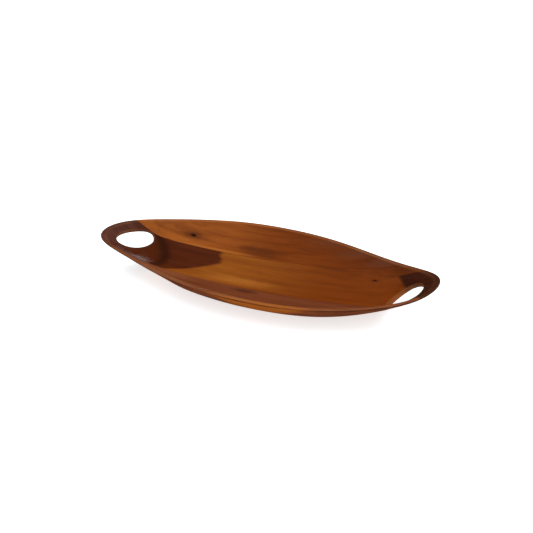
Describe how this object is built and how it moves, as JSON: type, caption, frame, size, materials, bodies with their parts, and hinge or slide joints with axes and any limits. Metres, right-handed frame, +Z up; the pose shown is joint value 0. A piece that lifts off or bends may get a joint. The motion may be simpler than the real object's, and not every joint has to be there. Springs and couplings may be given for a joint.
{
  "type": "serving tray",
  "caption": "Carved leaf-shaped wooden serving tray with a shallow hollow and a hand-hole through each raised end.",
  "frame": {"origin": "on the table under the middle of the tray, at the centre of its flat foot", "axes": "+X along the tray, +Y across it toward the far board, +Z up"},
  "size_m": [0.56, 0.2706, 0.0525],
  "materials": {
    "far_board_wood": "satin lacquer over medium red-brown hardwood with knots",
    "middle_board_wood": "satin lacquer over golden brown hardwood with dark heartwood at both ends",
    "near_board_wood": "satin lacquer over red-brown hardwood"
  },
  "bodies": {
    "root": {"far_board": "far_board_wood", "middle_board": "middle_board_wood", "near_board": "near_board_wood"}
  },
  "joints": []
}
